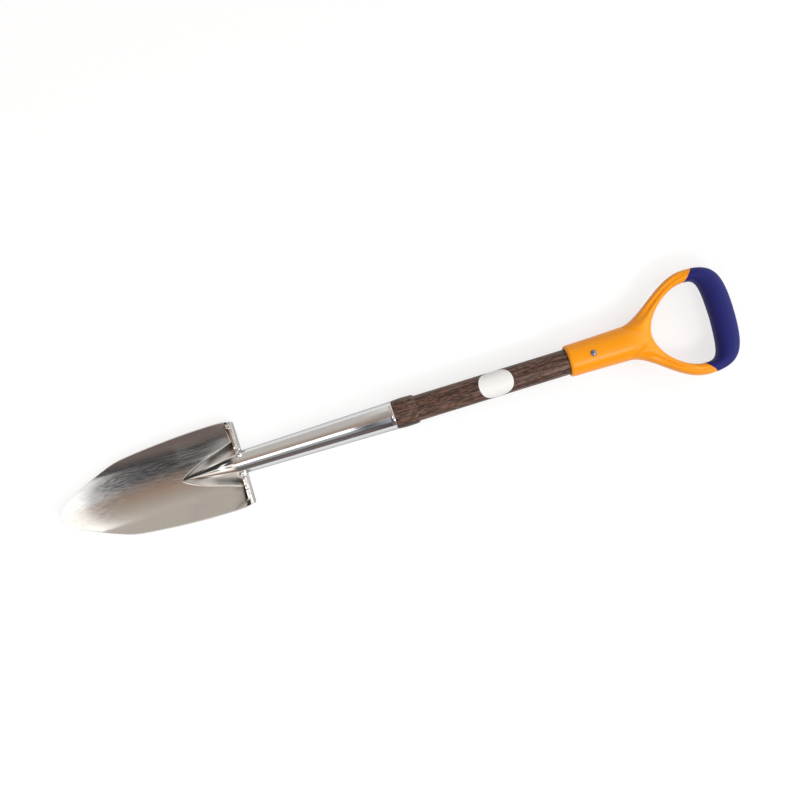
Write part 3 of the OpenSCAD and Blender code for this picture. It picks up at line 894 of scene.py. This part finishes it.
def bump_node(tree, shader, height, strength, distance):
    """Gives a shader fine relief from a height."""
    bump = tree.nodes.new("ShaderNodeBump")
    bump.inputs["Strength"].default_value = strength
    bump.inputs["Distance"].default_value = distance
    tree.links.new(height, bump.inputs["Height"])
    tree.links.new(bump.outputs["Normal"], shader.inputs["Normal"])


def set_material(piece, mat):
    """Makes a finish the only one of a piece."""
    piece.data.materials.clear()
    piece.data.materials.append(mat)
    print(piece.name, "is finished in", mat.name)


# %% [markdown]
# Blade, socket, treads, welds and rivet are all steel, but each was worked in
# its own way, so each has its own colour, roughness and depth of scratches.
# A brown band of painted shade darkens the bend across the blade before the heel.

# %% Steel
BRIGHT = (0.62, 0.60, 0.575)
COOL_BRIGHT = (0.68, 0.685, 0.695)
GROUND = (0.66, 0.65, 0.63)
WELD_METAL = (0.7, 0.69, 0.67)
BLUED = (0.22, 0.23, 0.30)
EDGE_TINT = (0.45, 0.45, 0.45, 1)
# Painted shade: a brown band that darkens the bend before the heel
BEND_SHADE_BROWN = (0.22, 0.16, 0.13)
BEND_SHADE_FROM = 239.5
BEND_SHADE_TO = 246.9
BEND_SHADE_TOP = 24


def steel(name, color, rough, scratch):
    """Steel with lengthwise streaks in its roughness and its relief."""
    mat, tree, shader, coords = finish(name, color, rough, 1.0)
    shader.inputs["Specular Tint"].default_value = EDGE_TINT
    streaks = noise_node(tree, coords, scale=40.0, detail=6.0, stretch=(1, 22, 22)).outputs["Fac"]
    uneven = ramp_node(tree, streaks, [(0.3, (rough * 0.7,) * 3), (0.75, (rough * 1.7,) * 3)])
    tree.links.new(uneven, shader.inputs["Roughness"])
    bump_node(tree, shader, streaks, scratch, 0.0002)
    return mat


def paint_bend_shade(mat, color, start, end, top):
    """Paints shade as a darker band across the blade, from one station to another and below a
    height.
    """
    tree = mat.node_tree
    shader = tree.nodes["Principled BSDF"]
    coords = tree.nodes.new("ShaderNodeTexCoord")
    split = tree.nodes.new("ShaderNodeSeparateXYZ")
    tree.links.new(coords.outputs["Object"], split.inputs[0])
    shares = []
    for axis, empty, full in (("X", at(start).x, at(start + 4).x),
                              ("X", at(end + 0.5).x, at(end).x),
                              ("Z", top * MM, (top - 4) * MM)):
        share = tree.nodes.new("ShaderNodeMapRange")
        share.inputs["From Min"].default_value = empty
        share.inputs["From Max"].default_value = full
        tree.links.new(split.outputs[axis], share.inputs["Value"])
        shares.append(share.outputs[0])
    band = math_node(tree, "MULTIPLY", shares[0], shares[1])
    mix = color_mix(tree, math_node(tree, "MULTIPLY", band, shares[2]))
    mix.inputs["A"].default_value = shader.inputs["Base Color"].default_value
    mix.inputs["B"].default_value = (*color, 1)
    tree.links.new(mix.outputs["Result"], shader.inputs["Base Color"])


blade_steel = steel("polished_blade_steel", BRIGHT, rough=0.12, scratch=0.06)
# Painted shade in the bend before the heel, as a brown band
paint_bend_shade(blade_steel, BEND_SHADE_BROWN, BEND_SHADE_FROM, BEND_SHADE_TO, BEND_SHADE_TOP)
socket_steel = steel("polished_socket_steel", COOL_BRIGHT, rough=0.10, scratch=0.06)
tread_steel = steel("ground_tread_steel", GROUND, rough=0.26, scratch=0.5)
rivet_steel = steel("rivet_steel", BLUED, rough=0.30, scratch=0.05)
weld_steel = steel("weld_metal", WELD_METAL, rough=0.12, scratch=0.2)
set_material(blade, blade_steel)
set_material(socket, socket_steel)
for piece in treads + [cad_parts["heel_web"]]:
    set_material(piece, tread_steel)
for piece in welds:
    set_material(piece, weld_steel)
for piece in (rivet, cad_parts["socket_screw"]):
    set_material(piece, rivet_steel)

# %% [markdown]
# The stain sinks deeper into the open grain than into the hard rings. So one
# noise that is long and streaky gives the grain, a finer one the pores, and
# their mean runs from almost black to a warm brown.

# %% Wood
STAIN_DARK = (0.022, 0.010, 0.007)
STAIN_MIDDLE = (0.085, 0.043, 0.030)
STAIN_LIGHT = (0.19, 0.105, 0.075)
wood, tree, shader, coords = finish("stained_ash", STAIN_MIDDLE, 0.45)
shader.inputs["Specular IOR Level"].default_value = 0.3
grain = noise_node(tree, coords, scale=55.0, detail=8.0, stretch=(0.35, 6, 6))
pores = noise_node(tree, coords, scale=420.0, detail=4.0, stretch=(0.3, 1, 1))
figure = tree.nodes.new("ShaderNodeMix")
figure.data_type = "FLOAT"
figure.inputs["Factor"].default_value = 0.5
tree.links.new(grain.outputs["Fac"], figure.inputs["A"])
tree.links.new(pores.outputs["Fac"], figure.inputs["B"])
stain = ramp_node(tree, figure.outputs["Result"],
                  [(0.38, STAIN_DARK), (0.60, STAIN_LIGHT), (0.50, STAIN_MIDDLE)])
tree.links.new(stain, shader.inputs["Base Color"])
bump_node(tree, shader, figure.outputs["Result"], 0.35, 0.0004)
set_material(shaft, wood)

# %% [markdown]
# Paper and both plastics have one colour each. What makes them look real is
# a fine relief: fibres in the paper, and the mould's faint grain in the
# plastic, which is deeper on the soft sleeve.


# %% Paper, orange moulding and dark sleeve
def grained(name, color, rough, shine, scale, relief, distance):
    """A plain colour with fine relief; shine is None for the shader's own."""
    mat, tree, shader, coords = finish(name, color, rough)
    if shine is not None:
        shader.inputs["Specular IOR Level"].default_value = shine
    skin = noise_node(tree, coords, scale, 3.0)
    bump_node(tree, shader, skin.outputs["Fac"], relief, distance)
    return mat


PAPER_WHITE = (0.88, 0.88, 0.86)
ORANGE = (1.0, 0.345, 0.002)
NAVY = (0.014, 0.016, 0.15)
paper = grained("bare_white_paper", PAPER_WHITE, rough=0.5, shine=None,
                scale=900.0, relief=0.05, distance=0.0001)
orange = grained("orange_moulding", ORANGE, rough=0.34, shine=0.3,
                 scale=700.0, relief=0.06, distance=0.0002)
navy = grained("navy_soft_sleeve", NAVY, rough=0.55, shine=0.2,
               scale=900.0, relief=0.10, distance=0.0002)
set_material(sticker, paper)
set_material(grip_body, orange)
set_material(grip_sleeve, navy)

# %% [markdown]
# ## Floor, light and camera
# The spade lies on a white ground. The floor glows only for the camera and for
# reflections, so it looks white without adding light to the tool, and its
# plain surface still takes the soft shadow.

# %% Floor
FLOOR_HALF = 4.0
FLOOR_Z = -0.0006
FLOOR_GREY = 0.36
FLOOR_GLOW = 0.68
bm = bmesh.new()
bmesh.ops.create_grid(bm, x_segments=1, y_segments=1, size=FLOOR_HALF)
mesh = bpy.data.meshes.new("floor")
bm.to_mesh(mesh)
bm.free()
floor = bpy.data.objects.new("floor", mesh)
floor.location = (0, 0, FLOOR_Z)
bpy.context.scene.collection.objects.link(floor)
floor_mat = bpy.data.materials.new("white_ground")
floor_mat.use_nodes = True
tree = floor_mat.node_tree
tree.nodes.clear()
out = tree.nodes.new("ShaderNodeOutputMaterial")
plain = tree.nodes.new("ShaderNodeBsdfDiffuse")
plain.inputs["Color"].default_value = (FLOOR_GREY, FLOOR_GREY, FLOOR_GREY, 1)
glow = tree.nodes.new("ShaderNodeEmission")
path = tree.nodes.new("ShaderNodeLightPath")
direct = math_node(tree, "MAXIMUM", path.outputs["Is Camera Ray"], path.outputs["Is Glossy Ray"])
looked_at = math_node(tree, "MAXIMUM", direct, path.outputs["Is Transmission Ray"])
tree.links.new(math_node(tree, "MULTIPLY", looked_at, FLOOR_GLOW), glow.inputs["Strength"])
ground = tree.nodes.new("ShaderNodeAddShader")
tree.links.new(plain.outputs[0], ground.inputs[0])
tree.links.new(glow.outputs[0], ground.inputs[1])
tree.links.new(ground.outputs[0], out.inputs["Surface"])
set_material(floor, floor_mat)

# %% [markdown]
# Bare steel shows its surroundings, so the studio around the spade matters as
# much as the steel itself. The air is painted in four bands that depend only
# on the direction. From the tip's side to the grip's side they are the ones
# seen by the frog, the blade and the tubes, and a bright one beyond. In each
# band the light changes with the turn about the spade's length, for example
# from a pale wall, over a dim warm ceiling, to a dark wall. The camera itself
# sees plain white.

# %% Studio air
world = bpy.data.worlds.new("studio")
bpy.context.scene.world = world
world.use_nodes = True
tree = world.node_tree
background = tree.nodes["Background"]
aim = tree.nodes.new("ShaderNodeTexCoord")
parts = tree.nodes.new("ShaderNodeSeparateXYZ")
tree.links.new(aim.outputs["Generated"], parts.inputs[0])
sideways = math_node(tree, "MULTIPLY", parts.outputs["Y"], -1.0)
turn_about = math_node(tree, "ARCTAN2", sideways, parts.outputs["Z"])
turn_share = math_node(tree, "ADD", math_node(tree, "DIVIDE", turn_about, math.pi), 0.5)
tip_turn = math_node(tree, "ARCSINE", parts.outputs["X"])
tip_angle = math_node(tree, "MULTIPLY", tip_turn, 180 / math.pi)


def air_band(stops):
    """A colour for each turn about the spade, in degrees off the zenith."""
    return ramp_node(tree, turn_share, [(degrees / 180 + 0.5, color) for degrees, color in stops])


def air_mix(low, high, start, end):
    """Goes from one colour to another as the direction tips from start to end."""
    share = tree.nodes.new("ShaderNodeMapRange")
    share.interpolation_type = "SMOOTHSTEP"
    share.inputs["From Min"].default_value = start
    share.inputs["From Max"].default_value = end
    tree.links.new(tip_angle, share.inputs["Value"])
    mix = color_mix(tree, share.outputs[0])
    tree.links.new(low, mix.inputs["A"])
    tree.links.new(high, mix.inputs["B"])
    return mix.outputs["Result"]


WINDOW = (1.6, 1.55, 1.5)
BRIGHT_SKY = (2.1, 2.08, 2.05)
WHITE_WALL = (1.0, 0.98, 0.95)
WARM_WALL = (0.68, 0.63, 0.57)
CEILING = (0.40, 0.37, 0.34)
BROWN = (0.42, 0.29, 0.22)
COOL_PANEL = (0.80, 0.83, 0.90)
DUSK = (0.22, 0.18, 0.17)
DARK = (0.05, 0.05, 0.052)
frog_air = air_band([(-90, DARK), (-12, DARK), (-6, WINDOW), (6, WINDOW), (12, DARK),
                     (20, DARK), (30, WINDOW), (50, WINDOW), (66, BROWN), (90, BROWN)])
blade_air = air_band([(-90, WARM_WALL), (-36, WARM_WALL), (-2, BROWN), (22, DARK),
                      (48, DARK), (62, DUSK), (88, DUSK)])
tube_air = air_band([(-90, WHITE_WALL), (-52, WHITE_WALL), (-44, CEILING), (0, CEILING),
                     (8, COOL_PANEL), (42, COOL_PANEL), (56, DARK), (90, DARK)])
grip_air = air_band([(-90, WHITE_WALL), (-60, BRIGHT_SKY), (60, BRIGHT_SKY), (90, WHITE_WALL)])
air = air_mix(frog_air, blade_air, start=-21, end=-16.5)
air = air_mix(air, tube_air, start=-3.8, end=-2.4)
air = air_mix(air, grip_air, start=27, end=40)
light_path = tree.nodes.new("ShaderNodeLightPath")
seen = color_mix(tree, light_path.outputs["Is Camera Ray"])
seen.inputs["B"].default_value = (1, 1, 1, 1)
tree.links.new(air, seen.inputs["A"])
tree.links.new(seen.outputs["Result"], background.inputs["Color"])
background.inputs["Strength"].default_value = 1.0
print("the studio has", len(tree.nodes), "nodes")

# %% [markdown]
# Low panels above the blade and the neck face straight down, so each is seen
# only by the piece that should mirror it: a white tip, and a white line along
# the ridge and the socket. One soft box gives the grip its highlight.


# %% Lamps
def panel(name, place, target, width, depth, watts):
    """A rectangular lamp at a place, facing its target."""
    data = bpy.data.lights.new(name, "AREA")
    data.shape = "RECTANGLE"
    data.size = width
    data.size_y = depth
    data.energy = watts
    lamp = bpy.data.objects.new(name, data)
    bpy.context.scene.collection.objects.link(lamp)
    lamp.location = place
    toward = Vector(target) - Vector(place)
    lamp.rotation_euler = toward.to_track_quat("-Z", "Y").to_euler()
    print(name, "gives", watts, "W")


panel("tip_panel", (-0.49, 0.0, 0.36), (-0.49, 0.0, 0), 0.08, 0.6, 0.22)
panel("neck_panel", (-0.22, -0.085, 0.35), (-0.22, -0.085, 0), 0.26, 0.14, 0.22)
panel("neck_fill", (-0.22, -0.26, 0.35), (-0.22, -0.26, 0), 0.26, 0.2, 0.06)
panel("grip_softbox", (0.6, -0.95, 1.05), (0.2, 0, 0), 0.5, 0.25, 6)

# %% [markdown]
# The camera looks almost straight down. It is turned about its own line of
# sight, so that the spade climbs from the lower left to the upper right.

# %% Camera
TURN = math.radians(17.2)
LEAN = math.radians(3.0)
DISTANCE = 1.15
LENS = 38.8
SENSOR = 36.0
TARGET = Vector((0.0093, 0.0171, 0.0231))
right = Vector((math.cos(TURN), -math.sin(TURN), 0))
back = Vector((0, -math.sin(LEAN), math.cos(LEAN)))
right = (right - back * right.dot(back)).normalized()
up = back.cross(right)
cam_data = bpy.data.cameras.new("camera")
cam_data.lens = LENS
cam_data.sensor_width = SENSOR
camera = bpy.data.objects.new("camera", cam_data)
bpy.context.scene.collection.objects.link(camera)
basis = Matrix((right, up, back)).transposed().to_4x4()
camera.matrix_world = Matrix.Translation(TARGET + back * DISTANCE) @ basis
bpy.context.scene.camera = camera
bpy.context.scene.view_settings.view_transform = "Standard"
print("the camera hangs", round(camera.matrix_world.translation.z, 3), "m above the floor")
